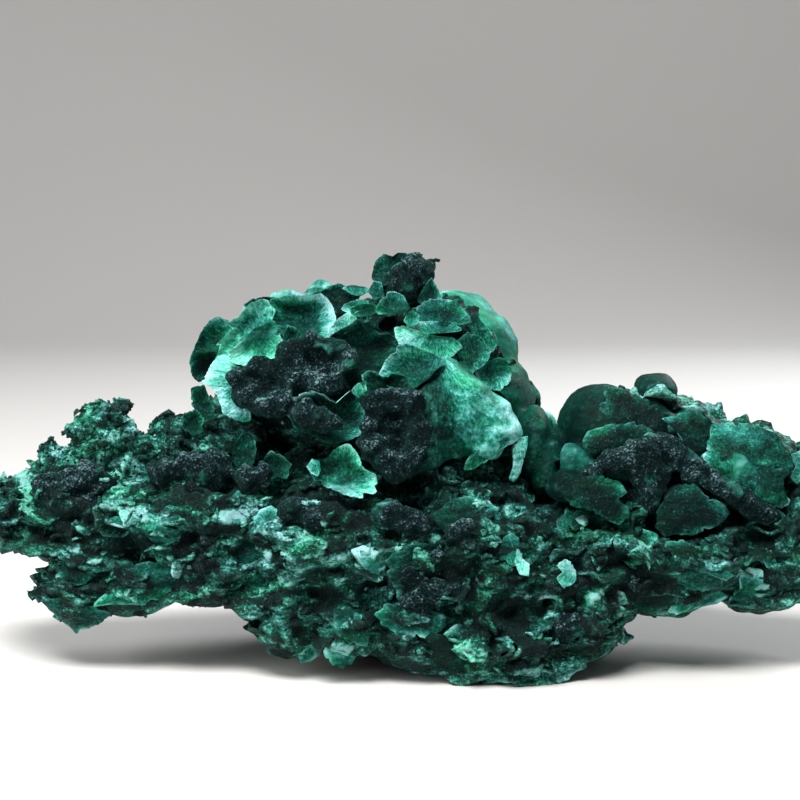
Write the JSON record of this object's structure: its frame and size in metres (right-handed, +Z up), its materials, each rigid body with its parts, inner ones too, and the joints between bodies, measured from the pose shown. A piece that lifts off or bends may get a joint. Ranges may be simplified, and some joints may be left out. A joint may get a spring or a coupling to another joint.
{
  "type": "malachite specimen",
  "caption": "Fibrous malachite hand specimen: a flaky layered crust carrying a ruffled rosette, a knob, smooth domes and scaly lobes, flat underneath so that it rests for display.",
  "frame": {"origin": "a point near the middle of the flat break on the underside, where the specimen rests", "axes": "+X along the length, with the rosette to the left of the middle and the smooth lobes at the +X end; +Y to the back, away from the rosette's open face; +Z up"},
  "size_m": [0.1234, 0.0493, 0.0567],
  "materials": {
    "malachite": "silky and velvety, with pale silky broken edges"
  },
  "bodies": {
    "root": {"specimen": "malachite"}
  },
  "joints": []
}
